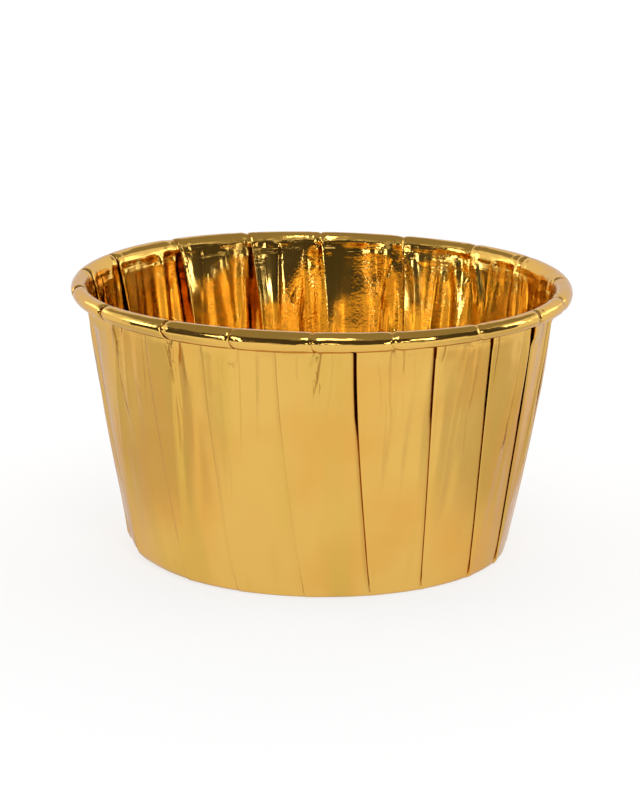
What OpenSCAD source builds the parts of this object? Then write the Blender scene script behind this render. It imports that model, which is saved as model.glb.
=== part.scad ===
// Foil baking cup. One round blank of foil-covered paper is pressed into a cup with a flat
// bottom. The spare length round the wall goes into knife pleats, and the edge of the blank is
// rolled outwards into a bead. Millimetres, +Z up, origin at the middle of the bottom.

/* [Cup] */
// Diameter across the outside of the rolled rim
rim_d = 69; // [62:0.5:78]
// Height over the rolled rim
cup_h = 38; // [30:0.5:46]
// Diameter of the flat part of the bottom
base_d = 50; // [42:0.5:54]
// Radius of the bend between the bottom and the wall
corner_r = 1.2; // [0.8:0.1:2.4]
// How far the wall bows out at half its height
wall_bow = 0.45; // [0:0.05:1]

/* [Sheet] */
// Thickness of the foil-covered paper
sheet_t = 0.15; // [0.1:0.01:0.2]
// Air between two layers of a pleat
layer_gap = 0.1; // [0.06:0.01:0.16]

/* [Pleats] */
// Number of pleats round the wall
pleat_count = 18; // [12:1:20]
// Angle from the front to the foot of the first pleat
pleat_start = 14.4; // [0:0.1:20]
// Share of a pleat's depth that lies on the opening side of its foot
pleat_lean = 0.65; // [0.4:0.05:0.9]

/* [Rolled rim] */
// Diameter of the rolled bead
bead_d = 2.6; // [2.2:0.1:3.2]
// Clear space between the rolled edge and the outside of the wall
edge_clear = 0.15; // [0.05:0.05:0.4]

/* [Hidden] */
foil_gold = [0.84, 0.66, 0.27];

// Pitch of the layers in a pleat, and half the depth of the three of them
layer_pitch = sheet_t + layer_gap;
half_stack = layer_pitch + sheet_t / 2;

// Length of sheet in each of a pleat's two bends, and the spare length at which it lies flat
bend_len = PI * layer_pitch / 2;
flat_spare = 5 * bend_len;

// The roll of the rim, at the middle of the sheet
roll_r = bead_d / 2 - half_stack;
roll_at = [rim_d / 2 - bead_d / 2, cup_h - bead_d / 2];
roll_turn = 360 - acos(1 - (2 * half_stack + edge_clear) / roll_r);

// The wall's straight chord, from the bend at the bottom to the start of the roll
foot = [base_d / 2 + corner_r, corner_r + sheet_t / 2];
top = [roll_at[0] - roll_r, roll_at[1]];
chord_angle = atan2(top[1] - foot[1], top[0] - foot[0]);
bow_angle = atan(4 * wall_bow / norm(top - foot));
foot_angle = chord_angle - bow_angle;
top_angle = chord_angle + bow_angle;

// Where the rings of the sheet lie: in the bend, up the wall as shares of it, and round the roll
bend_steps = 2;
wall_shares = [0.05, 0.11, 0.2, 0.4, 0.6, 0.8, 1];
roll_steps = 7;

// A ring is [radius, height, direction of the sheet there, radius on the flat blank]
function bend_ring(a) = [
    base_d / 2 + corner_r * sin(a),
    sheet_t / 2 + corner_r * (1 - cos(a)),
    a,
    base_d / 2 + corner_r * a * PI / 180
];
function roll_ring(a) =
    let (at = roll_at + roll_r * [-sin(top_angle - a), cos(top_angle - a)])
    [at[0], at[1], top_angle - a, wall_end_blank + roll_r * a * PI / 180];
function wall_ring(share) =
    let (
        start = bend_ring(foot_angle),
        end = roll_at + roll_r * [-sin(top_angle), cos(top_angle)],
        chord = end - [start[0], start[1]],
        out = [chord[1], -chord[0]] / norm(chord),
        at = [start[0], start[1]] + share * chord + 4 * wall_bow * share * (1 - share) * out
    )
    [
        at[0],
        at[1],
        foot_angle + share * (top_angle - foot_angle),
        start[3] + share * norm(chord)
    ];
wall_end_blank = wall_ring(1)[3];

rings = concat(
    [for (i = [0 : bend_steps]) bend_ring(foot_angle * i / bend_steps)],
    [for (share = wall_shares) wall_ring(share)],
    [for (i = [1 : roll_steps]) roll_ring(roll_turn * i / roll_steps)]
);

// Sine and versed sine over the angle in radians, with their limits at no turn
function sin_over(a) = a == 0 ? 1 : sin(a) / (a * PI / 180);
function vers_over(a) = a == 0 ? 0 : (1 - cos(a)) / (a * PI / 180);

// The line of the sheet through one pleat, in a ring where it has to take up a spare length.
// The sheet turns back through an angle and on again. Each point is [along the ring, out from
// the ring, direction of the line].
function pleat_line(spare) =
    let (
        turn = 180 * min(1, sqrt(spare / flat_spare)),
        back = turn == 0
            ? 2 * flat_spare / pow(PI, 2) - 2 * bend_len / 3
            : (spare - 2 * bend_len * (1 - sin_over(turn))) / (1 - cos(turn)),
        mid = back / 2 * [cos(turn), sin(turn)],
        bend = bend_len * [sin_over(turn), vers_over(turn)],
        half_bend = bend_len / 2 * [sin_over(turn / 2), vers_over(turn / 2)],
        outer = mid + bend,
        apex = outer - half_bend,
        lean = (0.5 - pleat_lean) * back
    )
    [
        [lean - outer[0] - back, -outer[1], 0],
        [lean - outer[0], -outer[1], 0],
        [lean - apex[0], -apex[1], turn / 2],
        [lean - mid[0], -mid[1], turn],
        [lean + mid[0], mid[1], turn],
        [lean + apex[0], apex[1], turn / 2],
        [lean + outer[0], outer[1], 0],
        [lean + outer[0] + back, outer[1], 0]
    ];

// One pleat and the middle of the panel after it
function pleat_and_panel(spare, pitch) =
    let (line = pleat_line(spare), last = len(line) - 1)
    concat(line, [[(line[last][0] + line[0][0] + pitch) / 2, 0, 0]]);
points_each = len(pleat_and_panel(0, 0));

// A point of one skin of the sheet: side is 1 outside the cup and -1 inside
function skin_point(ring, p, pleat, side) =
    let (
        along = p[0] - side * sheet_t / 2 * sin(p[2]),
        out = p[1] + side * sheet_t / 2 * cos(p[2]),
        r = ring[0] + out * sin(ring[2]),
        z = ring[1] - out * cos(ring[2]),
        angle = pleat_start - 90 + pleat * 360 / pleat_count + along / ring[0] * 180 / PI
    )
    [r * cos(angle), r * sin(angle), z];

function skin(side) = [
    for (ring = rings)
        let (
            pitch = 2 * PI * ring[0] / pleat_count,
            spare = 2 * PI * (ring[3] - ring[0]) / pleat_count,
            line = pleat_and_panel(max(0, spare), pitch)
        )
        for (pleat = [0 : pleat_count - 1], p = line) skin_point(ring, p, pleat, side)
];

// The folded sheet as one closed solid: two skins, two faces of the bottom, and the cut edge
module folded_sheet() {
    across = points_each * pleat_count;
    ups = len(rings);
    inner = across * ups;
    bottom = 2 * inner;
    points = concat(skin(1), skin(-1), [[0, 0, 0], [0, 0, sheet_t]]);
    faces = [
        for (j = [0 : across - 1])
            let (k = (j + 1) % across, last = across * (ups - 1))
            each concat(
                [[bottom, j, k], [bottom + 1, inner + k, inner + j]],
                [
                    for (i = [0 : ups - 2])
                        let (a = across * i + j, b = across * i + k)
                        each [
                            [a, a + across, b],
                            [b, a + across, b + across],
                            [inner + a, inner + b, inner + a + across],
                            [inner + b, inner + b + across, inner + a + across]
                        ]
                ],
                [
                    [last + j, inner + last + j, last + k],
                    [last + k, inner + last + j, inner + last + k]
                ]
            )
    ];
    polyhedron(points = points, faces = faces, convexity = 10);
}

module liner() {
    color(foil_gold) folded_sheet();
}

liner();
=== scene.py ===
from math import atan, atan2, cos, hypot, pi, radians, sin, tan
import bpy
import numpy as np
from mathutils import Matrix, Vector


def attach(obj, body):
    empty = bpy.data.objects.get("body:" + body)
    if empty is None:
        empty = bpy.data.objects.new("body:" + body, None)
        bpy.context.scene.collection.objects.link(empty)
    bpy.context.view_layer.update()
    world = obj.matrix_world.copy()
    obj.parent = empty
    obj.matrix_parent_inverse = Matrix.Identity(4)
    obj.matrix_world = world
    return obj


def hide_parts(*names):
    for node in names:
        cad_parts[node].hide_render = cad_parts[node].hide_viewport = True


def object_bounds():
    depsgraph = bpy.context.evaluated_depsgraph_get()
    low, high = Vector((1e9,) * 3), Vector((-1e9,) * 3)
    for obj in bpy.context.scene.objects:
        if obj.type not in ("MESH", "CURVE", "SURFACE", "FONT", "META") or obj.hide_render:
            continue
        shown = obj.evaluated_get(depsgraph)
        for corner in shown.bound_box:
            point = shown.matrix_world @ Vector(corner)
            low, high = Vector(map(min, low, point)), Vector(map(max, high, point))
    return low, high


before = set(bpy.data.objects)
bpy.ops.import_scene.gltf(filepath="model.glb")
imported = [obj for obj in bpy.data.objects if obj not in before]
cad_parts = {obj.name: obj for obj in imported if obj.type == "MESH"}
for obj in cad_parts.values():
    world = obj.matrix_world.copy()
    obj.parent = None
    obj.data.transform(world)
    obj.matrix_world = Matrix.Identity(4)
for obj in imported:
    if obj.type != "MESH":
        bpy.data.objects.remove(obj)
cadLow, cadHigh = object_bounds()
mm = 0.001
beadSwelling = 0.15 * mm  # how far the dents swell the bead past its section

# The cup's section. Its height comes from the frame.
cup = {
    "height": cadHigh.z - beadSwelling,
    "rimRadius": 34.5 * mm,
    "footRadius": 26.1 * mm,  # where the wall's line meets the table
    "cornerRadius": 1.0 * mm,
    "softCorner": (1.6 * mm, -80, 38),  # how much softer the bend is on the left, at what angle, spread
    "wallBow": 0.45 * mm,
    "sheet": 0.07 * mm,
    "beadRadius": 1.25 * mm,
    "rollTurn": radians(292),
}

# A line for each pleat, round from the left of the front. Angles are in degrees to the right of the
# front: the outer fold at the rim and at the foot, then how far past it the inner fold lies. The last
# four numbers are in millimetres: how far the outer fold gapes, how much more it does just under the
# bead, how deep the gutter beside it is, and how far the inner flap stands off the wall inside the cup.
pleats = np.array([
    (-73.3, -69.5, 14.6, 0.12, 0.45, 0.08, 0.30),
    (-46.0, -42.5, 8.9, 0.10, 0.10, 0.06, 0.25),
    (-29.2, -24.0, 9.1, 0.06, 0.15, 0.06, 0.45),
    (-10.6, -3.8, 8.6, 0.07, 0.08, 0.05, 0.35),
    (8.4, 15.6, 7.5, 0.15, 0.03, 0.45, 0.32),
    (28.1, 31.9, 9.3, 0.02, 0.12, 0.20, 0.10),
    (45.0, 51.3, 13.4, 0.01, 0.12, 0.13, 0.08),
    (62.3, 68.1, 11.0, 0.00, 0.45, 0.15, 0.10),
    (84.0, 89.0, 9.3, 0.04, 0.30, 0.20, 0.12),
    (108.5, 112.0, 9.4, 0.16, 0.20, 0.10, 0.30),
    (128.7, 133.5, 9.0, 0.20, 0.10, 0.18, 0.45),
    (149.4, 153.5, 9.1, 0.15, 0.25, 0.10, 0.60),
    (170.9, 176.5, 9.1, 0.10, 0.20, 0.08, 1.25),
    (191.5, 196.0, 7.2, 0.20, 0.10, 0.22, 0.50),
    (213.6, 219.0, 6.2, 0.10, 0.30, 0.10, 0.60),
    (234.8, 238.5, 8.8, 0.16, 0.15, 0.12, 0.50),
    (252.0, 258.0, 9.0, 0.12, 0.35, 0.08, 0.35),
    (269.5, 274.5, 9.5, 0.18, 0.20, 0.10, 0.30),
])
foldAtRim, foldAtFoot, overlap, gape, underBead, gutterDepth, flapStand = pleats.T
# The zones that the columns of a pleat lie in. The panel is the single sheet up to the next pleat.
outerBend, outerFlap, panel, innerFlap, innerBend, middleLayer = range(6)

folding = {
    "layerPitch": 0.08 * mm,  # from layer to layer in a flat pleat
    "swing": 1.7,  # how late the outer fold swings towards its foot
    "gapeStart": 1.5 * mm,  # depth under the roll over which the outer fold opens
    "gapeBelow": 0.35,  # what is left of the gape below the top third of the wall
    "gapeTop": (0.6, 0.2),  # share of the wall's height from which it grows, and over what share
    "gapeFoot": 4,  # at the foot it closes over one part in this many of the wall's height
    "middleGape": 0.5,  # how much of the gape the middle layer has at its end
    "notch": (3.2 * mm, 3.0),  # how far under the roll a notch reaches, and how much further a wide one
    "notchFade": 1.2 * mm,
    "gutterWidth": 0.42 * mm,
    "gutterUnder": 0.15 * mm,  # how far under the fold its middle lies
    "calm": 0.85,  # how much smaller the dents are beside an outer fold
    "calmWidth": 1.2 * mm,
    "innerColumns": 12,
    "bendColumns": 2,
    "middleColumns": 5,
    "outerColumns": 14,
    "panelColumns": 21,
    "wrapShare": 0.22,  # how soon the sheet drops back to the wall past a pleat, as a share of the panel
    "wrapWander": (0.5, 9),  # how much that changes up the wall, and how often
}
blank = {
    "baseRings": [4 * mm, 14 * mm, 22 * mm],
    "bendRings": 4,
    "lowerRings": 12,
    "upperRings": 13,  # in the top of the wall, where it is creased
    "creasedShare": 0.16,
    "closer": 1.4,  # how much closer they come towards the rim
    "rollRings": 12,
}


def smooth(x):  # 0 below 0, 1 above 1
    x = np.clip(x, 0, 1)
    return x * x * (3 - 2 * x)


def rise(x, start, over):  # from 0 at the start to 1 further on
    return smooth((x - start) / over)


def fall(x, end, over):  # from 1 to 0 at the end
    return smooth((end - x) / over)


def bell(x, width, power=2):  # 1 at 0, fading on both sides
    return np.exp(-((x / width) ** power))


def angleFrom(a, b):  # signed, in degrees
    return (a - b + 180) % 360 - 180


# The wall's line, from the bend to the start of the roll
reach = folding["layerPitch"] + cup["sheet"] / 2
rollRadius = cup["beadRadius"] - reach
rollX, rollZ = cup["rimRadius"] - cup["beadRadius"], cup["height"] - cup["beadRadius"]
chordX, chordZ = rollX - rollRadius - cup["footRadius"], rollZ
chordAngle, chordLength = atan2(chordZ, chordX), hypot(chordX, chordZ)
bowAngle = atan(4 * cup["wallBow"] / chordLength)
footAngle, topAngle = chordAngle - bowAngle, chordAngle + bowAngle
wallEnd = np.array([rollX - rollRadius * sin(topAngle), rollZ + rollRadius * cos(topAngle)])


def cornerRadius(azimuth):
    extra, at, spread = cup["softCorner"]
    return cup["cornerRadius"] + extra * bell(angleFrom(azimuth, at), spread)


def bendStart(corner):  # radius at which the flat bottom ends
    return cup["footRadius"] - corner * tan(footAngle / 2)


# Radius, height and slope of the middle of the sheet at each ring, for one or many corner radii,
# and the radius of that ring on the flat blank
def sectionRings(corner):
    corner = np.asarray(corner, dtype=float)
    flat = bendStart(corner)
    level = 0 * flat
    lift = cup["sheet"] / 2
    rings = []
    for r in blank["baseRings"]:
        rings.append((r * flat / bendStart(cup["cornerRadius"]), lift + level, level, r + level))
    for i in range(blank["bendRings"] + 1):
        a = footAngle * i / blank["bendRings"]
        rings.append((
            flat + corner * sin(a),
            lift + corner * (1 - cos(a)),
            a + level,
            flat + corner * a,
        ))
    startX = flat + corner * sin(footAngle)
    startZ = lift + corner * (1 - cos(footAngle))
    runX, runZ = wallEnd[0] - startX, wallEnd[1] - startZ
    run = np.hypot(runX, runZ)
    plain = 1 - blank["creasedShare"]
    steps = [plain * i / blank["lowerRings"] for i in range(1, blank["lowerRings"] + 1)]
    for i in range(1, blank["upperRings"] + 1):
        steps.append(1 - (1 - plain) * (1 - i / blank["upperRings"]) ** blank["closer"])
    for t in steps:
        bow = 4 * cup["wallBow"] * t * (1 - t)
        rings.append((
            startX + t * runX + bow * runZ / run,
            startZ + t * runZ - bow * runX / run,
            footAngle + t * (topAngle - footAngle) + level,
            flat + corner * footAngle + t * run,
        ))
    for i in range(1, blank["rollRings"] + 1):
        a = cup["rollTurn"] * i / blank["rollRings"]
        rings.append((
            rollX - rollRadius * sin(topAngle - a) + level,
            rollZ + rollRadius * cos(topAngle - a) + level,
            topAngle - a + level,
            flat + corner * footAngle + run + rollRadius * a,
        ))
    return [np.array([ring[i] for ring in rings]) for i in range(4)]


ringRadius, ringHeight, _, ringFlat = sectionRings(cup["cornerRadius"])
ringCount = len(ringRadius)
rollStart = ringCount - blank["rollRings"] - 1


# The sheet's line round the cup, ring by ring: azimuth in degrees, distance out from the wall, the
# share of the way through its zone of the pleat, which zone that is, and which pleat
def foldLines():
    pitch = folding["layerPitch"]
    bendLength = pi * pitch / 2
    flatSpare = 5 * bendLength  # the spare length at which a pleat lies flat
    up = np.clip(ringHeight / ringHeight[rollStart], 0, 1)
    up[rollStart:] = 1
    up = up[:, None]
    down = (ringHeight[rollStart] - ringHeight)[:, None]
    spareShare = np.maximum(ringFlat - ringRadius, 0)
    spareShare = spareShare / spareShare[rollStart]
    depth = radians(1) * overlap * ringRadius[rollStart]
    spare = spareShare[:, None] * (2 * depth + 2 * bendLength)
    turn = pi * np.minimum(1, np.sqrt(spare / flatSpare))
    safe = np.maximum(turn, 1e-4)  # nothing is divided by 0 where there is no spare length
    back = (spare - 2 * bendLength * (1 - np.sin(safe) / safe)) / (1 - np.cos(safe))
    back = np.where(turn < 1e-3, 2 * flatSpare / pi**2 - 2 * bendLength / 3, back)
    midX, midY = back / 2 * np.cos(turn), back / 2 * np.sin(turn)
    endX = midX + bendLength * np.sin(safe) / safe
    endY = midY + bendLength * (1 - np.cos(safe)) / safe

    outerFold = foldAtRim + (foldAtFoot - foldAtRim) * (1 - up) ** folding["swing"]
    perMetre = np.degrees(1 / ringRadius)[:, None]  # degrees in a metre of the ring
    centre = outerFold + (back / 2 * turn / pi + pitch / 2) * perMetre

    left = folding["gapeBelow"]
    opening = smooth(down / folding["gapeStart"])
    gaping = opening * (left + (1 - left) * rise(up, *folding["gapeTop"]))
    gaping = gaping * smooth(up * folding["gapeFoot"])
    reaches, further = folding["notch"]
    notched = fall(down, reaches + further * underBead * mm, folding["notchFade"]) * opening
    gaping = (gaping * gape + notched * underBead) * mm
    gaping[rollStart:] = 0

    azimuths, outs, shares, zones = [], [], [], []

    def add(x, y, share, zone, base=centre):
        azimuths.append(base + x * perMetre)
        outs.append(y)
        shares.append(share + 0 * back)
        zones.append(zone)

    def arc(q):  # along one bend of the pleat from its flat end
        a = np.maximum(q * turn, 1e-4)
        return bendLength * q * np.sin(a) / a, bendLength * q * (1 - np.cos(a)) / a

    def join(parts):
        return np.stack(parts, axis=2).reshape(ringCount, -1)

    for i in range(folding["innerColumns"]):
        u = i / folding["innerColumns"]
        add(-endX - back * (1 - u), -endY, u, innerFlap)
    for i in range(folding["bendColumns"] + 1):
        dx, dy = arc(i / folding["bendColumns"])
        add(-endX + dx, -endY + dy, 1, innerBend)
    half = folding["middleGape"]
    for i in range(1, folding["middleColumns"]):
        t = i / folding["middleColumns"]
        add(midX * (2 * t - 1), midY * (2 * t - 1) + gaping * half * t**2, t, middleLayer)
    for i in range(folding["bendColumns"] + 1):
        q = 1 - i / folding["bendColumns"]
        dx, dy = arc(q)
        add(endX - dx, endY - dy + gaping * (1 - (1 - half) * q), 0, outerBend)
    for i in range(1, folding["outerColumns"] + 1):
        u = i / folding["outerColumns"]
        add(endX + back * u, endY + gaping * (1 - u) ** 2, u, outerFlap)
    first, last = azimuths[0], azimuths[-1]
    nextFirst = np.roll(first, -1, axis=1)
    nextFirst[:, -1] += 360
    nextOut = np.roll(outs[0], -1, axis=1)
    lastOut = outs[-1]
    change, often = folding["wrapWander"]
    wrap = folding["wrapShare"] * (1 + change * np.sin(often * up + foldAtRim))
    for i in range(1, folding["panelColumns"]):
        u = i / folding["panelColumns"]
        add(0, lastOut + (nextOut - lastOut) * smooth(u / wrap), u, panel, last + (nextFirst - last) * u)

    pleatOf = np.repeat(np.arange(len(pleats)), len(azimuths))
    return join(azimuths), join(outs), join(shares), np.tile(zones, len(pleats)), pleatOf


print("working out the folds")
azimuth, out, share, zone, pleatOf = foldLines()
columns = azimuth.shape[1]
print("rings", ringCount, "columns", columns)

# Section again, with the bend's radius changing round the foot
radius, height, slope, _ = sectionRings(cornerRadius(azimuth[rollStart]))


# Seed, how many waves, fewest and most round the cup, shortest and longest up the wall in metres
waveSets = {
    "outOfRound": (1, 3, (2, 4), (0.08, 0.2)),
    "panels": (2, 8, (12, 30), (0.03, 0.09)),
    "flutes": (3, 10, (38, 72), (0.03, 0.09)),
    "layers": (4, 8, (25, 60), (0.02, 0.07)),
    "crumple": (6, 14, (70, 140), (0.0025, 0.008)),
    "ridges": (7, 5, (26, 44), (0.02, 0.06)),
    "beadCrumple": (8, 12, (60, 150), (0.003, 0.01)),
}


# Sums of sine waves that close round the cup
def waves(seed, number, counts, lengths):
    dice = np.random.RandomState(seed)
    total = 0
    for _ in range(number):
        around = dice.randint(counts[0], counts[1] + 1)
        along = 2 * pi / dice.uniform(lengths[0], lengths[1]) * dice.choice([-1, 1])
        phase = dice.uniform(0, 2 * pi)
        total = total + np.sin(np.radians(azimuth) * around + height * along + phase)
    return total / np.sqrt(number)


def inZone(number, edge):  # 1 inside a zone of the pleats, fading at both its ends
    return np.where(zone == number, smooth(share / edge) * fall(share, 1, edge), 0)


# Dents and creases. Out of the wall is positive, and on the bead that is into the bead. A pair is
# from where something grows or fades, and over how much.
wear = {
    "wallEnds": (1.0 * mm, 2 * mm),  # over what height the dents start under the roll and at the foot
    "rollStarts": 0.15,  # share of the roll over which the bead's finish starts
    "outOfRound": 0.12 * mm,
    "outOfRoundUp": 2,  # it grows over one part in this many of the wall's height
    "flatSide": (0.22 * mm, -88, 30),  # how far it is pushed in on the left, at what angle, spread
    "flatSideUp": 5,
    "flatSideTop": 4 * mm,  # depth under the roll over which it starts
    "panelWave": 0.05 * mm,
    "spring": 0.03 * mm,  # how far the top and bottom layers of a pleat stand off
    "layerWave": 0.04 * mm,
    "dentEnds": (0.3, 0.2),  # share of a flap, and of a panel, over which a dent fades at its ends
    "flutes": 0.20 * mm,
    "ridges": 0.10 * mm,
    "flutesUp": (4 * mm, 18 * mm),  # height
    "flutesInFlaps": 0.25,  # how strong they are there
    "flutesAhead": 0.7,  # how much they fade before the next pleat
    "flutesAheadFrom": (0.45, 0.25),  # share of the panel
    "flapTop": 14 * mm,  # over what height a flap leaves the wall under the rim, and above the foot
    "flapFoot": 20 * mm,
    "flapStart": 0.35,  # how much of its reach it has at its start
    "flapAhead": (0.4, 0.6),  # share of the panel before it, which leans in with it
    # Facets above the free edge of a flap: from which angle to which, how far they reach down at each,
    # and how steeply they lean in
    "facets": [
        (184.0, 198.7, 2.5 * mm, 9.5 * mm, 0.13),
        (203.5, 219.8, 2.0 * mm, 7.0 * mm, 0.14),
    ],
    "facetCalm": 0.85,  # how much smaller the flutes are in them
    "facetCalmUp": (24 * mm, 4 * mm),  # height
    "facetStart": 0.12,  # share of their width over which they start
    "facetFoot": 22 * mm,  # height over which they fade at the foot
    "crumple": 0.10 * mm,
    "crumpleBand": (5 * mm, 3 * mm),  # depth under the roll
    "crumpleRoll": (0.35, 0.2),  # share of the roll at which that ends, and the bead's starts
    "beadCrumpleRoll": (0.2, 0.15),
    "foldMark": 0.10 * mm,
    "foldMarkWidth": 0.55,  # degrees
    "foldMarkUp": (8 * mm, 20 * mm),  # height
    "foldWander": (0.3, 0.25, 2.2 * mm),  # degrees past the fold, how much that changes, how quickly
    "foldLip": 0.16 * mm,  # how far the last bit of an inner flap lifts at its fold
    "foldLipFrom": (0.82, 0.18),  # share of the flap
    "foldLipBack": 0.3,  # share of the middle layer
    "foldLipUp": (6 * mm, 10 * mm),  # height
    "gutterUp": (0.62, 0.08),  # share of the wall's height
    "gutterBelow": 0.15,  # how much of the gutters is left below that, and of their shade
    # Painted shade in the gutters, where little light gets in between the layers
    "shadeBelow": 0.3,
    "shadeDepth": 0.4,  # depth in millimetres of a gutter that is in full shade
    "shadeWidth": 0.5 * mm,
    "wrinkle": 0.11 * mm,
    "wrinkleScale": 0.55,  # millimetres in a degree
    "wrinkleTop": (0.5 * mm, 1.5 * mm),  # depth under the roll
    "wrinkleStart": (-0.1, 0.2),  # share of its length
    "wrinkleEnd": (1, 0.5),
    "wrinklesEach": 5,  # small ones at each nick
    "ledge": 0.07 * mm,
    # Millimetres under the roll, which way, width in millimetres
    "ledges": [(0.25, -1, 0.16), (0.95, 1, 0.20), (1.75, -1, 0.28)],
    "ledgeWander": 0.22 * mm,
    "ledgeChange": (0.75, 0.45, 0.1, 1.3),  # how deep one is on average, how that changes, least, most
    "ledgeTop": 0.1 * mm,
    "beadCrumple": 0.034 * mm,
    "beadBulge": 0.015 * mm,
    "beadBulgePower": 0.7,  # how evenly it bulges between two nicks
    "beadNick": 0.05 * mm,
    # The film's finish: where it is pressed flat, crumpled, and lined by the roll
    "pressedEnds": 0.12,  # share of a flap
    "pressedUp": (22 * mm, 7 * mm),  # height
    "crumpledBand": (6 * mm, 4 * mm),  # depth under the roll
    "crumpledLess": 0.5,  # how much less on the bead
    "linedBand": (3 * mm, 1.5 * mm),
    "upper": 20 * mm,  # height above which the wall counts as the upper one
    # How far from a nick, in degrees, the sheet is crumpled in shape, on the bead and in its finish, and
    # how wide the nick itself is
    "nickReach": 3.5,
    "nickReachOnBead": 3,
    "nickFinish": 2.6,
    "nickWidth": 0.6,
}
creasing = {
    "each": 2,  # faint ones at each nick
    "swerve": (0.12, 0.9 * mm),  # degrees, over what height
    "farAway": 9.0,  # millimetres
    "past": 3.2,  # how far past its ends, in millimetres, a crease can be the nearest one
    "start": (-0.05, 0.1),  # share of its length
    "end": (1.05, 0.3),
    "fade": (0.35, 0.3),  # millimetres from its line
    "strong": 0.95,  # strength over which the sheet is crumpled along it
    "roughWidth": 0.5,
    "outsideCrumpled": 0.3,  # how much of the crumpling at the nicks shows outside
}
# Creases seen outside, and then those seen inside: angle and height at the top, at the bottom, how far
# they swing aside in degrees, strength
creases = [
    (-58.6, 35.0, -59.6, 27.8, 0.3, 1.0),
    (-59.6, 28.0, -57.8, 22.5, -0.2, 0.8),
    (-57.0, 25.0, -49.3, 26.6, 0.5, 0.5),
    (-48.0, 35.4, -49.0, 25.0, 0.2, 0.35),
    (-37.8, 35.4, -37.8, 26.8, -0.3, 1.0),
    (-37.8, 27.5, -38.1, 19.0, 0.2, 0.5),
    (-35.2, 35.4, -34.0, 29.9, 0.2, 0.9),
    (-39.4, 34.0, -38.2, 29.5, 0.2, 0.6),
    (-19.6, 35.4, -19.9, 20.9, 0.3, 0.25),
    (-22.6, 33.2, -20.9, 32.6, 0.1, 0.5),
    (0.0, 35.4, -1.9, 28.8, 0.6, 0.9),
    (-1.9, 29.0, -2.0, 26.5, 0.0, 0.35),
    (16.7, 35.4, 17.9, 24.0, -0.4, 0.30),
    (17.9, 26.0, 17.4, 18.0, -0.3, 0.20),
    (19.8, 35.4, 20.2, 31.5, 0.0, 0.7),
    (40.6, 31.8, 39.2, 24.5, 0.3, 0.45),
    (39.3, 25.0, 40.0, 19.0, -0.3, 0.25),
    (46.6, 35.2, 46.9, 29.6, 0.1, 0.9),
    (30.4, 35.4, 30.0, 33.0, 0.1, 0.8),
]
insideCreases = [
    (163.1, 22.0, 160.4, 35.4, 1.4, 1.0),
    (191.0, 27.6, 185.6, 29.7, -0.7, 1.0),
    (185.0, 25.0, 184.2, 28.5, 0.4, 0.7),
    (148.0, 24.0, 146.8, 35.0, 0.5, 0.6),
    (203.0, 22.0, 201.4, 34.6, -0.5, 0.6),
    (224.5, 24.0, 222.4, 34.0, 0.5, 0.6),
]
# Wider wrinkles: angle and height at the top, at the bottom, depth and half width in millimetres
wrinkles = [
    (-59.3, 36.2, -57.9, 22.0, 0.30, 0.45),
    (-37.6, 36.0, -37.0, 18.0, 0.24, 0.45),
    (-34.9, 36.0, -33.4, 29.0, 0.20, 0.35),
    (0.3, 36.0, -2.3, 27.0, 0.18, 0.35),
    (19.8, 36.0, 20.0, 30.0, 0.16, 0.32),
    (40.5, 34.5, 39.4, 22.0, 0.14, 0.35),
    (46.9, 36.2, 46.3, 30.0, 0.20, 0.35),
    (17.2, 36.0, 18.3, 12.0, 0.18, 0.60),
    (-24.0, 35.8, -22.0, 10.0, 0.14, 0.90),
    (-14.0, 35.8, -12.0, 14.0, 0.12, 0.80),
    (212.5, 34.0, 208.0, 12.0, -0.35, 0.90),
    (207.2, 35.5, 202.5, 12.0, -0.30, 0.50),
    (201.9, 35.0, 199.2, 12.0, -0.22, 0.40),
    (192.0, 27.5, 188.5, 12.0, -0.25, 0.40),
    (184.3, 34.0, 180.5, 12.0, -0.28, 0.45),
    (161.2, 35.0, 152.3, 12.0, -0.30, 0.60),
    (155.6, 35.5, 148.5, 12.0, -0.30, 0.50),
    (146.5, 34.0, 143.0, 20.0, -0.25, 0.60),
    (142.8, 35.5, 134.0, 12.0, -0.35, 0.60),
    (136.3, 36.0, 120.0, 12.0, -0.40, 0.90),
]
print("adding the dents and creases")
below = height[rollStart] - height  # down from the start of the roll
below[rollStart:] = 0
upWall = np.clip(height / height[rollStart], 0, 1)
onRoll = np.zeros(ringCount)
onRoll[rollStart:] = np.linspace(0, 1, ringCount - rollStart)
onRoll = onRoll[:, None] + 0 * azimuth
offRoll = onRoll == 0
rolled = smooth(onRoll / wear["rollStarts"])
wallTop, wallFoot = wear["wallEnds"]
wallOnly = smooth(below / wallTop) * smooth(height / wallFoot)
isUpper = height > wear["upper"]


def foldAzimuth(bend):  # at each ring, for each pleat
    return azimuth[:, zone == bend].reshape(ringCount, len(pleats), -1).mean(axis=2)


fromFold = angleFrom(azimuth[:, :, None], foldAzimuth(outerBend)[:, None, :])
fromFold = fromFold * np.radians(1) * radius[:, :, None]  # in metres
calm = 1 - folding["calm"] * bell(np.min(np.abs(fromFold), axis=2), folding["calmWidth"])


# Lays a dent on the sheet. Where layers lie on each other, only the top and the bottom one move, away
# from those between them. Beside an outer fold the bottom one keeps calm.
def dent(mark):
    up, down = np.maximum(mark, 0), np.minimum(mark, 0) * calm
    flapEnd, panelEnd = wear["dentEnds"]
    return np.select([zone == outerFlap, zone == panel, zone == innerFlap], [
        up * smooth(share / flapEnd),
        up * fall(share, 1, panelEnd) + down * smooth(share / panelEnd),
        down * fall(share, 1, flapEnd),
    ])


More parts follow.
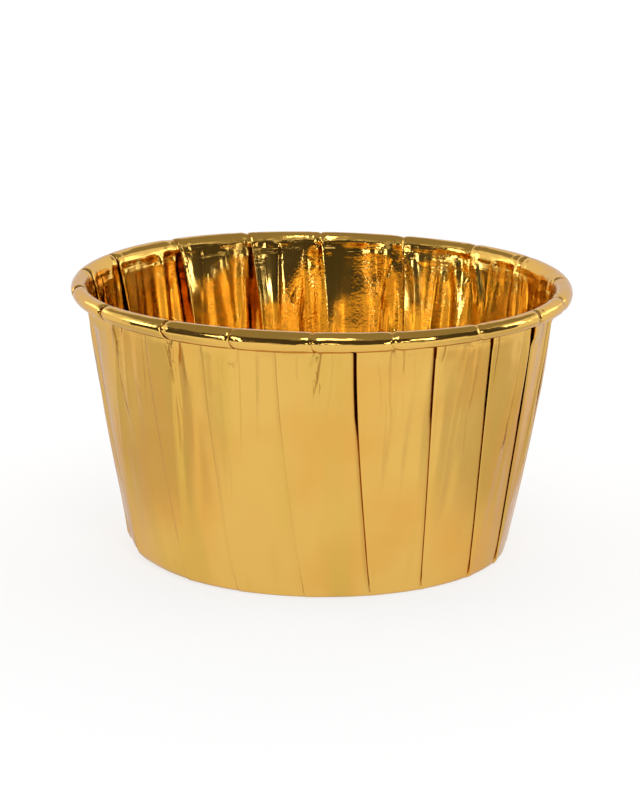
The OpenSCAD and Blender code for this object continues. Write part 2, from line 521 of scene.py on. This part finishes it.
# The wall is a little out of round and pushed in on one side, and its panels and layers are wavy
bumps = wear["outOfRound"] * waves(*waveSets["outOfRound"]) * smooth(upWall * wear["outOfRoundUp"])
pushed, at, width = wear["flatSide"]
pushed = pushed * bell(angleFrom(azimuth, at), width)
bumps -= pushed * smooth(upWall * wear["flatSideUp"]) * smooth(below / wear["flatSideTop"])
bumps += wear["panelWave"] * waves(*waveSets["panels"]) * wallOnly
flapEnd, panelEnd = wear["dentEnds"]
bumps += wear["spring"] * (inZone(outerFlap, flapEnd) - inZone(innerFlap, flapEnd)) * wallOnly
bumps += wear["layerWave"] * dent(waves(*waveSets["layers"])) * wallOnly

# Upright flutes and sharper ridges, calmer in the facets
ahead = 1 - wear["flutesAhead"] * rise(share, *wear["flutesAheadFrom"])
fluted = np.where(zone == panel, ahead, wear["flutesInFlaps"])
fluted = fluted * wallOnly * rise(height, *wear["flutesUp"])
for start, edge, _, _, _ in wear["facets"]:
    middle, half = (start + edge) / 2, (edge - start) / 2
    here = wear["facetCalm"] * bell(azimuth - middle, half, 4) * rise(height, *wear["facetCalmUp"])
    fluted = fluted * (1 - here)
bumps += wear["flutes"] * dent(waves(*waveSets["flutes"])) * fluted
ridges = 1 - 2 * np.abs(np.clip(waves(*waveSets["ridges"]), -1, 1))
bumps += wear["ridges"] * dent(ridges) * fluted

# The inner flaps stand off the wall, most at half height
lifted = np.minimum(below / wear["flapTop"], height / wear["flapFoot"])
standOff = 0.5 * smooth(lifted) + 0.5 * np.clip(lifted, 0, 1)
start = wear["flapStart"]
lead = np.where(zone == innerFlap, start + (1 - start) * smooth(share), 0) + (zone == innerBend)
lead += np.where(zone == middleLayer, (1 - share) ** 2, 0)
before = np.where(zone == panel, start * rise(share, *wear["flapAhead"]), 0)
nextStand = np.roll(flapStand, -1)
bumps -= flapStand[pleatOf] * mm * standOff * lead + nextStand[pleatOf] * mm * standOff * before
lip = np.where(zone == innerFlap, rise(share, *wear["foldLipFrom"]), 0) + (zone == innerBend)
lip += np.where(zone == middleLayer, smooth(1 - share / wear["foldLipBack"]), 0)
bumps -= wear["foldLip"] * lip * wallOnly * rise(height, *wear["foldLipUp"])

# The facets lean in down to a limit that changes across them, and stand upright below it
for start, edge, reachStart, reachEdge, lean in wear["facets"]:
    index = int(np.argmax((foldAtRim > start) & (foldAtRim < edge)))
    across = np.clip((azimuth - start) / (edge - start), 0, 1)
    down = np.maximum(below, 1e-6)
    limit = reachStart + (reachEdge - reachStart) * across
    depth = lean * down * limit / (down**4 + limit**4) ** 0.25
    on = (zone == panel) & (pleatOf == index - 1)
    on = on | (np.isin(zone, (innerFlap, innerBend)) & (pleatOf == index))
    on = on + ((zone == middleLayer) & (pleatOf == index)) * (1 - share) ** 2
    depth = depth * on * smooth(across / wear["facetStart"]) * smooth(height / wear["facetFoot"])
    bumps -= depth * offRoll

# The layer under an outer fold sinks into a gutter beside it, in the top third of the wall
bottomLayer = np.isin(zone, (panel, innerFlap))
upHere = rise(upWall, *wear["gutterUp"])
left = wear["gutterBelow"]
gutter = gutterDepth * mm * bell(fromFold - folding["gutterUnder"], folding["gutterWidth"])
bumps -= gutter.sum(axis=2) * bottomLayer * (left + (1 - left) * upHere) * wallOnly
# 1 where hardly any light gets in between the layers; this is painted there as shade in the film's
# colour
left = wear["shadeBelow"]
shaded = np.minimum(gutterDepth / wear["shadeDepth"], 1) * bell(fromFold, wear["shadeWidth"], 4)
shaded = shaded.sum(axis=2) * bottomLayer * (left + (1 - left) * upHere) * wallOnly

# The inner folds press through to the outside, and the sheet is crumpled where they run into the roll
nicks = foldAtRim + overlap
nearest = np.min(np.abs(angleFrom(azimuth[:, :, None], nicks)), axis=2)
past, change, over = wear["foldWander"]
wander = change * np.sin(height[:, :1] / over + nicks) + past
pastFold = angleFrom(azimuth[:, :, None], (foldAzimuth(innerBend) + wander)[:, None, :])
marks = np.exp(-np.abs(pastFold) / wear["foldMarkWidth"]).max(axis=2)
marks = marks * rise(height, *wear["foldMarkUp"]) * wallOnly
bumps += wear["foldMark"] * marks * np.isin(zone, (outerFlap, panel))
band = fall(below, *wear["crumpleBand"]) * fall(onRoll, *wear["crumpleRoll"])
crumple = waves(*waveSets["crumple"]) * band * bell(nearest, wear["nickReach"])
bumps += wear["crumple"] * dent(crumple)
crumple = dent(waves(*waveSets["beadCrumple"])) * rise(onRoll, *wear["beadCrumpleRoll"])
bumps += wear["beadCrumple"] * crumple * bell(nearest, wear["nickReachOnBead"])


def wrinkleAt(topAt, topHeight, lowAt, lowHeight, depth, width):
    t = (topHeight * mm - height) / ((topHeight - lowHeight) * mm)
    away = angleFrom(azimuth, topAt + (lowAt - topAt) * t) * wear["wrinkleScale"]
    fade = rise(t, *wear["wrinkleStart"]) * fall(t, *wear["wrinkleEnd"])
    fade = fade * rise(below, *wear["wrinkleTop"]) * wallOnly
    return depth * mm * np.exp(-np.abs(away) / width) * fade


dice = np.random.RandomState(11)
for nick in nicks:
    for _ in range(wear["wrinklesEach"]):
        top = nick + dice.uniform(-4, 6)
        length = dice.uniform(4, 18)
        wrinkles.append((
            top, dice.uniform(35, 36.5), top + dice.uniform(-0.1, 0.1) * length, 36 - length,
            wear["wrinkle"] / mm * dice.uniform(0.4, 1) * dice.choice([-1, 1]), dice.uniform(0.3, 0.6),
        ))
for wrinkle in wrinkles:
    bumps += dent(wrinkleAt(*wrinkle))

# Ledges that the rolling tool leaves round the top of the wall
mean, change, least, most = wear["ledgeChange"]
for i, (place, way, width) in enumerate(wear["ledges"]):
    wander = wear["ledgeWander"] * np.clip(waves(20 + i, 6, (9, 40), (1, 2)), -1, 1)
    depth = wear["ledge"] * np.clip(mean + change * waves(30 + i, 6, (7, 30), (1, 2)), least, most)
    mark = np.exp(-np.abs(below - place * mm - wander) / (width * mm)) * offRoll * isUpper
    bumps += way * depth * mark * smooth(below / wear["ledgeTop"])

# The bead bulges a little between its nicks
sinceNick = np.min((azimuth[:, :, None] - nicks) % 360, axis=2)
untilNick = np.min((nicks - azimuth[:, :, None]) % 360, axis=2)
phase = sinceNick / (sinceNick + untilNick)
bumps -= wear["beadBulge"] * np.sin(pi * phase) ** wear["beadBulgePower"] * rolled
bumps += wear["beadNick"] * bell(nearest, wear["nickWidth"]) * rolled

out = out + bumps
turned = np.radians(azimuth - 90)
spread = radius + out * np.sin(slope)
folded = np.stack([
    spread * np.cos(turned),
    spread * np.sin(turned),
    height - out * np.cos(slope),
], axis=2)

# 1 where the film is pressed flat in the pleats, 0 in the loose sheet between them
flaps = np.maximum(inZone(innerFlap, wear["pressedEnds"]), inZone(outerFlap, wear["pressedEnds"]))
pressed = np.clip(flaps * rise(height, *wear["pressedUp"]) + rolled, 0, 1)
# 1 where the sheet is crumpled, round the nicks in the rim
crumpled = bell(nearest, wear["nickFinish"]) * fall(below, *wear["crumpledBand"])
crumpled = crumpled * (1 - wear["crumpledLess"] * rolled)
# 1 on the bead and just under it, where the roll leaves fine lines round the rim
lined = fall(below, *wear["linedBand"]) * isUpper

# Faint creases at the nicks, the same on both faces
dice = np.random.RandomState(5)
for nick in nicks:
    for _ in range(creasing["each"]):
        top = nick + dice.uniform(-3.5, 6)
        creases.append((
            top, dice.uniform(33, 35.6), top + dice.uniform(-1.5, 1.5), dice.uniform(20, 31),
            dice.uniform(-0.6, 0.6), dice.uniform(0.06, 0.22),
        ))
        insideCreases.append(creases[-1])


# Distance from the nearest crease in millimetres, signed, how strong it is there, and the crumpling
# along the strongest
def creaseField(lines):
    nearestAway = np.full(azimuth.shape, creasing["farAway"])
    nearestStrength = np.zeros(azimuth.shape)
    rough = np.zeros(azimuth.shape)
    swerve, over = creasing["swerve"]
    for topAt, topHeight, lowAt, lowHeight, swing, strength in lines:
        t = (topHeight * mm - height) / ((topHeight - lowHeight) * mm)
        line = topAt + (lowAt - topAt) * t + swing * np.sin(pi * np.clip(t, 0, 1))
        line = line + swerve * np.sin(height / over + topAt) * strength
        away = angleFrom(azimuth, line) * np.radians(1) * radius / mm
        here = strength * rise(t, *creasing["start"]) * fall(t, *creasing["end"])
        past = np.maximum(-t, t - 1) * abs(topHeight - lowHeight)  # millimetres past its ends
        closest = (np.abs(away) < np.abs(nearestAway)) & (past < creasing["past"])
        isStrong = strength > creasing["strong"]
        rough = np.maximum(rough, isStrong * smooth(here) * bell(away, creasing["roughWidth"]))
        nearestAway = np.where(closest, away, nearestAway)
        nearestStrength = np.where(closest, here, nearestStrength)
    nearestStrength = nearestStrength * (1 - rise(np.abs(nearestAway), *creasing["fade"])) * offRoll
    return np.clip(nearestAway, -1, 1), nearestStrength, rough


outsideAway, outsideStrength, outsideRough = creaseField(creases)
insideAway, insideStrength, insideRough = creaseField(insideCreases)
outsideCrumpled = np.maximum(creasing["outsideCrumpled"] * crumpled, outsideRough)
insideCrumpled = np.maximum(crumpled, insideRough)


def deselectAll():
    bpy.ops.object.select_all(action="DESELECT")


# A flat round blank with a ring of edges for each row of the section, then folded into the cup
def makeLiner(outside, inside):
    deselectAll()
    bpy.ops.mesh.primitive_circle_add(vertices=columns, radius=ringFlat[0], fill_type="TRIFAN")
    liner = bpy.context.object
    liner.name = "goldLiner"
    bpy.ops.object.mode_set(mode="EDIT")
    bpy.ops.mesh.select_mode(type="EDGE")
    bpy.ops.mesh.select_all(action="DESELECT")
    bpy.ops.mesh.select_non_manifold()
    for last, wider in zip(ringFlat, ringFlat[1:]):
        bpy.ops.mesh.extrude_edges_move()
        bpy.ops.transform.resize(value=(wider / last, wider / last, 1))
    bpy.ops.mesh.select_all(action="SELECT")
    bpy.ops.mesh.normals_make_consistent(inside=False)
    bpy.ops.object.mode_set(mode="OBJECT")
    print("blank cut, vertices", len(liner.data.vertices))

    # Which ring and which column of the folds each point belongs to
    mesh = liner.data
    points = np.empty(len(mesh.vertices) * 3)
    mesh.vertices.foreach_get("co", points)
    points = points.reshape(-1, 3)
    distance = np.hypot(points[:, 0], points[:, 1])
    row = np.abs(distance[:, None] - ringFlat[None, :]).argmin(axis=1)
    column = np.rint(np.arctan2(points[:, 1], points[:, 0]) / (2 * pi) * columns).astype(int) % columns
    centre = distance < ringFlat[0] / 2
    upward = mesh.polygons[0].normal.z > 0

    pattern = mesh.uv_layers.new(name="flatBlank")
    corners = np.empty(len(mesh.loops), dtype=int)
    mesh.loops.foreach_get("vertex_index", corners)
    flat = points[:, :2] / (2 * ringFlat[-1]) + 0.5
    pattern.data.foreach_set("uv", flat[corners].ravel())

    points = folded[row, column]
    points[centre] = (0, 0, cup["sheet"] / 2)
    mesh.vertices.foreach_set("co", points.ravel())
    mesh.update()
    if upward:  # the side that faced up is the inside of the cup
        bpy.ops.object.mode_set(mode="EDIT")
        bpy.ops.mesh.select_all(action="SELECT")
        bpy.ops.mesh.flip_normals()
        bpy.ops.object.mode_set(mode="OBJECT")
    # Attributes for the film's finish, and masks for the painted shade between the layers and along the
    # creases
    finishAndPaintedShade = {
        "pressed": pressed, "lined": lined, "shaded": shaded,
        "outsideCrumpled": outsideCrumpled, "insideCrumpled": insideCrumpled,
        "outsideAway": outsideAway, "outsideStrength": outsideStrength,
        "insideAway": insideAway, "insideStrength": insideStrength,
    }
    for name, values in finishAndPaintedShade.items():
        layer = mesh.attributes.new(name, "FLOAT", "POINT")
        layer.data.foreach_set("value", np.where(centre, 0, values[row, column]))
    mesh.materials.append(outside)
    mesh.materials.append(inside)
    thick = liner.modifiers.new("thickness", "SOLIDIFY")
    thick.thickness = cup["sheet"]
    thick.offset = 0
    thick.material_offset = 1  # the inner skin gets the second material
    bpy.ops.object.modifier_apply(modifier=thick.name)
    bpy.ops.object.shade_smooth_by_angle(angle=radians(70))
    return liner


# Gold foil. grain is the height of the fine pattern pressed into the film.
foil = {
    # The plain colour of the film, and what it is in the olive and orange bands
    "outsideColours": ((0.80, 0.485, 0.112, 1), (0.70, 0.44, 0.085, 1), (0.78, 0.425, 0.088, 1)),
    "insideColours": ((0.87, 0.56, 0.145, 1), (0.78, 0.51, 0.11, 1), (0.85, 0.49, 0.115, 1)),
    "beadColour": (0.79, 0.475, 0.108, 1),
    "creaseShadeColour": (0.42, 0.20, 0.03, 1),  # painted shade and inter-reflected light in a crease, the light caught between its sides
    # painted shade between the layers
    "shadedColour": (0.20, 0.08, 0.015, 1),
    "edgeTint": (0.75, 0.68, 0.70, 1),  # how the film dims towards a grazing view
    "outsideRoughness": (0.13, 0.24),
    "insideRoughness": (0.08, 0.16),
    "outsideGrain": 0.006 * mm,
    "insideGrain": 0.046 * mm,
    "outsideSoft": 0.10 * mm,  # height of the soft waves
    "insideSoft": 0.12 * mm,
    "outsideCrumple": 0.10 * mm,
    "insideCrumple": 0.16 * mm,
    "bandsPerMetre": (150, 150, 22),  # the olive bands run up the wall
    "oliveRange": (0.50, 0.68, 0, 0.8),  # from and to what noise, from and to what share of the colour
    "orangePerMetre": 70,
    "orangeRange": (0.45, 0.65, 0, 1),
    "patchesPerMetre": 160,  # patches that are rougher, and have more grain
    "patchRange": (0.35, 0.65),
    "patchGrain": (0.45, 0.95),
    "pressedGrain": 0.15,  # what is left of the grain where the film is pressed flat
    "softPerMetre": 260,
    "grainPerMetre": 2600,
    "crumplePerMetre": 900,
    "linesPerMetre": 2600,  # fine lines round the rim, across the roll
    "lineChanges": (160, 160, 0),  # how often in a metre they change along the rim
    "lineBump": 0.035 * mm,
    "creaseShadeWidth": 0.22,  # half width in millimetres of the painted shade along a crease
    "creaseBump": (0.34, 0.07 * mm),  # half width in millimetres, depth
}


# Settings are inputs, by name or number, with a value or another node's output, or else properties
def addNode(tree, kind, settings=None):
    node = tree.nodes.new(kind)
    for name, value in (settings or {}).items():
        if isinstance(name, str) and name not in node.inputs:
            setattr(node, name, value)
        elif isinstance(value, bpy.types.NodeSocket):
            tree.links.new(value, node.inputs[name])
        else:
            node.inputs[name].default_value = value
    return node


def foilMaterial(name, side):
    material = bpy.data.materials.new(name)
    material.use_nodes = True
    tree = material.node_tree
    shader = tree.nodes["Principled BSDF"]
    shader.inputs["Metallic"].default_value = 1
    shader.inputs["Specular Tint"].default_value = foil["edgeTint"]
    place = addNode(tree, "ShaderNodeTexCoord").outputs["Object"]

    def read(attribute):
        return addNode(tree, "ShaderNodeAttribute", {"attribute_name": attribute}).outputs["Fac"]

    def noise(scale, detail, vector=place):
        settings = {"Scale": scale, "Detail": detail, "Vector": vector}
        return addNode(tree, "ShaderNodeTexNoise", settings).outputs["Fac"]

    def ranged(value, fromLow, fromHigh, toLow, toHigh, kind="LINEAR"):
        return addNode(tree, "ShaderNodeMapRange", {
            "interpolation_type": kind, "Value": value, "From Min": fromLow, "From Max": fromHigh,
            "To Min": toLow, "To Max": toHigh,
        }).outputs["Result"]

    def product(first, second):
        return addNode(tree, "ShaderNodeMath", {"operation": "MULTIPLY", 0: first, 1: second}).outputs[0]

    def mixed(factor, first, second):
        settings = {"data_type": "RGBA", 0: factor, 6: first, 7: second}
        return addNode(tree, "ShaderNodeMix", settings).outputs[2]

    def bump(height, distance, strength, under=None, invert=False):
        settings = {"Height": height, "Distance": distance, "Strength": strength, "invert": invert}
        if under:
            settings["Normal"] = under
        return addNode(tree, "ShaderNodeBump", settings).outputs["Normal"]

    # The film's colour, with olive bands that run up the wall and broad orange patches
    plainColour, oliveColour, orangeColour = foil[side + "Colours"]
    stretched = addNode(tree, "ShaderNodeMapping", {"Scale": foil["bandsPerMetre"], "Vector": place})
    olive = ranged(noise(1, 2, stretched.outputs[0]), *foil["oliveRange"])
    orange = ranged(noise(foil["orangePerMetre"], 2), *foil["orangeRange"])
    colour = mixed(orange, plainColour, orangeColour)
    colour = mixed(olive, colour, oliveColour)
    colour = mixed(read("lined"), colour, foil["beadColour"])

    # Painted shade along sharp creases, and painted shade between the layers, where little light gets in
    away = addNode(tree, "ShaderNodeMath", {"operation": "ABSOLUTE", 0: read(side + "Away")}).outputs[0]
    strength = read(side + "Strength")

    def crease(halfWidth):
        return product(ranged(away, 0, halfWidth, 1, 0, "SMOOTHSTEP"), strength)

    colour = mixed(crease(foil["creaseShadeWidth"]), colour, foil["creaseShadeColour"])
    colour = mixed(read("shaded"), colour, foil["shadedColour"])
    tree.links.new(colour, shader.inputs["Base Color"])

    patches = noise(foil["patchesPerMetre"], 3)
    roughness = ranged(patches, *foil["patchRange"], *foil[side + "Roughness"])
    tree.links.new(roughness, shader.inputs["Roughness"])

    # Soft waves, and over them the grain of the film, which is pressed out in the pleats
    normal = bump(noise(foil["softPerMetre"], 1), foil[side + "Soft"], 1)
    loose = ranged(read("pressed"), 0, 1, 1, foil["pressedGrain"])
    uneven = ranged(patches, *foil["patchRange"], *foil["patchGrain"])
    grain = noise(foil["grainPerMetre"], 2.5)
    normal = bump(grain, foil[side + "Grain"], product(loose, uneven), normal)

    # Fine lines round the rim: the pattern's distance from the middle is that on the flat blank
    pattern = addNode(tree, "ShaderNodeUVMap", {"uv_map": "flatBlank"}).outputs["UV"]
    fromCentre = addNode(tree, "ShaderNodeVectorMath", {
        "operation": "SUBTRACT", 0: pattern, 1: (0.5, 0.5, 0)}).outputs[0]
    distance = addNode(tree, "ShaderNodeVectorMath", {"operation": "LENGTH", 0: fromCentre})
    across = product(distance.outputs["Value"], 2 * ringFlat[-1] * foil["linesPerMetre"])
    slow = addNode(tree, "ShaderNodeMapping", {"Scale": foil["lineChanges"], "Vector": place}).outputs[0]
    joined = addNode(tree, "ShaderNodeCombineXYZ", {"Z": across}).outputs[0]
    lineAt = addNode(tree, "ShaderNodeVectorMath", {"operation": "ADD", 0: slow, 1: joined}).outputs[0]
    normal = bump(noise(1, 2, lineAt), foil["lineBump"], read("lined"), normal)

    crumples = noise(foil["crumplePerMetre"], 3)
    normal = bump(crumples, foil[side + "Crumple"], read(side + "Crumpled"), normal)
    wide, deep = foil["creaseBump"]
    normal = bump(crease(wide), deep, 1, normal, invert=True)
    tree.links.new(normal, shader.inputs["Normal"])
    return material


studio = {
    "floorSize": 8,
    "floorColour": (0.88, 0.88, 0.88, 1),
    "floorGlow": 0.72,  # how much of the floor is plain white, so that its shadow stays pale
    "ambient": 0.80,
    # Painted reflections, seen only in the metal: a dark screen for the dark room in front, and a grey
    # ceiling for the dim room overhead
    "darkScreen": (0.2, 0.16, (0.07, 0.062, 0.05, 1)),  # radius, height, colour
    "greyCeiling": (4.0, 4.0, 1.5, (0.34, 0.32, 0.28, 1)),  # width, depth, height, colour
    # Width, height, angle round from the front, angle up, distance, watts, whether metal shows it
    "lamps": {
        "backSoftbox": (1.6, 0.9, 175, 32, 1.6, 6.5, False),
        "leftSoftbox": (1.0, 0.8, -103, 24, 1.25, 3.5, False),
        "rightSoftbox": (1.0, 0.8, 103, 24, 1.25, 3.5, False),
        "keySoftbox": (0.35, 0.30, 8, 53, 1.2, 2.2, True),
    },
    # Small glowing windows in front of the dark screen, seen only in the metal, where they are painted
    # reflections that make glints. Width, height, angle round, angle up, brightness
    "windows": {
        "lowLeftWindow": (0.030, 0.012, -34, 1.8, 10),
        "lowMidWindow": (0.014, 0.012, 4, 1.5, 10),
        "lowRightWindow": (0.030, 0.012, 34, 1.8, 10),
        "leftWindow": (0.046, 0.028, -42, 15, 7),
        "rightWindow": (0.017, 0.028, 45, 13, 9),
        "farLeftWindow": (0.060, 0.050, -84, 18, 5),
        "farRightWindow": (0.040, 0.056, 94, 16, 5),
        "backLeftWindow": (0.070, 0.040, -118, 15, 2.5),
        "backRightWindow": (0.070, 0.040, 118, 15, 2.5),
    },
    "windowDistance": 0.19,
    "windowBase": 30 * mm,  # height from which their angles are taken
    # Painted shadow on the floor at the sides of the cup, grey and seen only in the metal: how far to
    # the right, to the front, radius, over what distance it fades, colour
    "paintedShadows": {
        "leftPaintedShadow": (-76 * mm, 14 * mm, 52 * mm, 26 * mm, (0.76, 0.76, 0.76, 1)),
        "rightPaintedShadow": (76 * mm, 14 * mm, 52 * mm, 26 * mm, (0.76, 0.76, 0.76, 1)),
    },
    "paintedShadowHeight": 0.2 * mm,
}


# Painted reflections and a painted shadow, seen only in the metal: a dark half-round screen behind the
# camera, a grey sheet over it, glowing windows, and grey patches on the floor
def makeScreens():
    radius, tall, colour = studio["darkScreen"]
    deselectAll()
    bpy.ops.mesh.primitive_cylinder_add(
        vertices=96, radius=radius, depth=tall, end_fill_type="NOTHING", location=(0, 0, tall / 2))
    screen = bpy.context.object
    screen.name = "darkScreen"
    bpy.ops.object.mode_set(mode="EDIT")
    bpy.ops.mesh.select_all(action="SELECT")
    bpy.ops.mesh.bisect(plane_co=(0, 0, 0), plane_no=(0, 1, 0), clear_outer=True)
    bpy.ops.object.mode_set(mode="OBJECT")
    screen.data.materials.append(glowMaterial("darkRoomReflection", colour))

    width, deep, tall, colour = studio["greyCeiling"]
    deselectAll()
    bpy.ops.mesh.primitive_plane_add(size=1, location=(0, 0, tall))
    ceiling = bpy.context.object
    ceiling.name = "greyCeiling"
    ceiling.scale = (width, deep, 1)
    ceiling.data.materials.append(glowMaterial("greyCeilingReflection", colour))

    staged = [screen, ceiling]
    away = studio["windowDistance"]
    for name, (width, tall, around, up, glow) in studio["windows"].items():
        around, up = radians(around), radians(up)
        deselectAll()
        place = Vector((sin(around) * away, -cos(around) * away, studio["windowBase"] + tan(up) * away))
        bpy.ops.mesh.primitive_plane_add(size=1, location=place, rotation=(pi / 2, 0, around))
        window = bpy.context.object
        window.name = name
        window.scale = (width, tall, 1)
        window.data.materials.append(glowMaterial(name + "Light", (1, 1, 1, 1), glow))
        staged.append(window)
    for name, (right, forward, radius, fade, colour) in studio["paintedShadows"].items():
        place = (right, -forward, studio["paintedShadowHeight"])
        deselectAll()
        bpy.ops.mesh.primitive_circle_add(vertices=64, radius=radius, fill_type="NGON", location=place)
        shadowPatch = bpy.context.object
        shadowPatch.name = name
        shadowPatch.data.materials.append(paintedShadowMaterial(name, colour, radius, fade))
        staged.append(shadowPatch)
    for piece in staged:  # painted reflections and shadows: only the metal shows them
        piece.visible_camera = False
        piece.visible_diffuse = False
        piece.visible_shadow = False


# 1 for the rays that show a background: to the camera, in metal and through glass
def seenRays(tree):
    rays = addNode(tree, "ShaderNodeLightPath").outputs
    pair = addNode(tree, "ShaderNodeMath", {
        "operation": "MAXIMUM", 0: rays["Is Camera Ray"], 1: rays["Is Glossy Ray"]})
    seen = addNode(tree, "ShaderNodeMath", {
        "operation": "MAXIMUM", 0: pair.outputs[0], 1: rays["Is Transmission Ray"]})
    return seen.outputs[0]


# Matt white, with part of it plain white to the rays that show it
def floorMaterial():
    material = bpy.data.materials.new("paleFloor")
    material.use_nodes = True
    tree = material.node_tree
    matt = tree.nodes["Principled BSDF"]
    matt.inputs["Base Color"].default_value = studio["floorColour"]
    matt.inputs["Roughness"].default_value = 0.9
    matt.inputs["Specular IOR Level"].default_value = 0
    white = addNode(tree, "ShaderNodeEmission", {"Color": (1, 1, 1, 1), "Strength": 1})
    share = addNode(tree, "ShaderNodeMath", {
        "operation": "MULTIPLY", 0: seenRays(tree), 1: studio["floorGlow"]})
    mix = addNode(tree, "ShaderNodeMixShader", {
        0: share.outputs[0], 1: matt.outputs[0], 2: white.outputs[0]})
    tree.links.new(mix.outputs[0], tree.nodes["Material Output"].inputs["Surface"])
    return material


def glowMaterial(name, colour, strength=1):
    material = bpy.data.materials.new(name)
    material.use_nodes = True
    tree = material.node_tree
    glow = addNode(tree, "ShaderNodeEmission", {"Color": colour, "Strength": strength})
    tree.links.new(glow.outputs[0], tree.nodes["Material Output"].inputs["Surface"])
    return material


# Painted shadow: grey, fading out towards its edge
def paintedShadowMaterial(name, colour, radius, fade):
    material = bpy.data.materials.new(name + "Grey")
    material.use_nodes = True
    tree = material.node_tree
    place = addNode(tree, "ShaderNodeTexCoord").outputs["Object"]
    away = addNode(tree, "ShaderNodeVectorMath", {"operation": "LENGTH", 0: place})
    edge = addNode(tree, "ShaderNodeMapRange", {
        "interpolation_type": "SMOOTHSTEP", "Value": away.outputs["Value"],
        "From Min": radius - fade, "From Max": radius,
    })
    glow = addNode(tree, "ShaderNodeEmission", {"Color": colour, "Strength": 1})
    clear = addNode(tree, "ShaderNodeBsdfTransparent")
    mix = addNode(tree, "ShaderNodeMixShader", {
        0: edge.outputs["Result"], 1: glow.outputs[0], 2: clear.outputs[0]})
    tree.links.new(mix.outputs[0], tree.nodes["Material Output"].inputs["Surface"])
    return material


def addLamp(name, width, tall, around, up, away, watts, shown):
    around, up = radians(around), radians(up)
    place = Vector((sin(around) * cos(up), -cos(around) * cos(up), sin(up))) * away
    bpy.ops.object.light_add(type="AREA", location=place)
    lamp = bpy.context.object
    lamp.name = name
    lamp.data.shape = "RECTANGLE"
    lamp.data.size = width
    lamp.data.size_y = tall
    lamp.data.energy = watts
    lamp.rotation_euler = (-place).to_track_quat("-Z", "Y").to_euler()
    lamp.visible_camera = False
    lamp.visible_glossy = shown


def makeStudio():
    deselectAll()
    bpy.ops.mesh.primitive_plane_add(size=studio["floorSize"])
    floor = bpy.context.object
    floor.name = "floor"
    floor.data.materials.append(floorMaterial())
    makeScreens()

    world = bpy.data.worlds.new("room")
    bpy.context.scene.world = world
    world.use_nodes = True
    tree = world.node_tree
    ambient = tree.nodes["Background"]
    ambient.inputs["Color"].default_value = (1, 1, 1, 1)
    ambient.inputs["Strength"].default_value = studio["ambient"]
    white = addNode(tree, "ShaderNodeBackground", {"Color": (1, 1, 1, 1), "Strength": 1})
    mix = addNode(tree, "ShaderNodeMixShader", {
        0: seenRays(tree), 1: ambient.outputs[0], 2: white.outputs[0]})
    tree.links.new(mix.outputs[0], tree.nodes["World Output"].inputs["Surface"])

    for name, values in studio["lamps"].items():
        addLamp(name, *values)
    bpy.context.scene.view_settings.view_transform = "Standard"


view = {
    "elevation": radians(14.4),
    "distance": 0.480,
    "roll": radians(0.66),
    "target": Vector((0, 0, 18.9 * mm)),
    # In pixels of a picture that is 800 high: how far off the picture is, and how far it is shifted
    "pictureHeight": 800,
    "focalLength": 3455,
    "shift": (0.3, 12.2),
    "sensor": 36,
    "clip": (0.01, 20),
}


def makeCamera():
    data = bpy.data.cameras.new("photoCamera")
    camera = bpy.data.objects.new("photoCamera", data)
    bpy.context.collection.objects.link(camera)
    bpy.context.scene.camera = camera
    right, up = view["shift"]
    data.lens = view["focalLength"] / view["pictureHeight"] * view["sensor"]
    data.sensor_width = view["sensor"]
    data.shift_x, data.shift_y = right / view["pictureHeight"], up / view["pictureHeight"]
    data.clip_start, data.clip_end = view["clip"]
    towards = Vector((0, -cos(view["elevation"]), sin(view["elevation"])))
    camera.location = view["target"] + towards * view["distance"]
    aim = (-towards).to_track_quat("-Z", "Y").to_matrix().to_4x4()
    camera.rotation_euler = (aim @ Matrix.Rotation(view["roll"], 4, "Z")).to_euler()


print("setting up the camera and the studio")
makeCamera()
makeStudio()
liner = makeLiner(foilMaterial("goldFoilOutside", "outside"), foilMaterial("goldFoilInside", "inside"))
print("liner made, faces", len(liner.data.polygons))
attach(liner, "root")
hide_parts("liner")
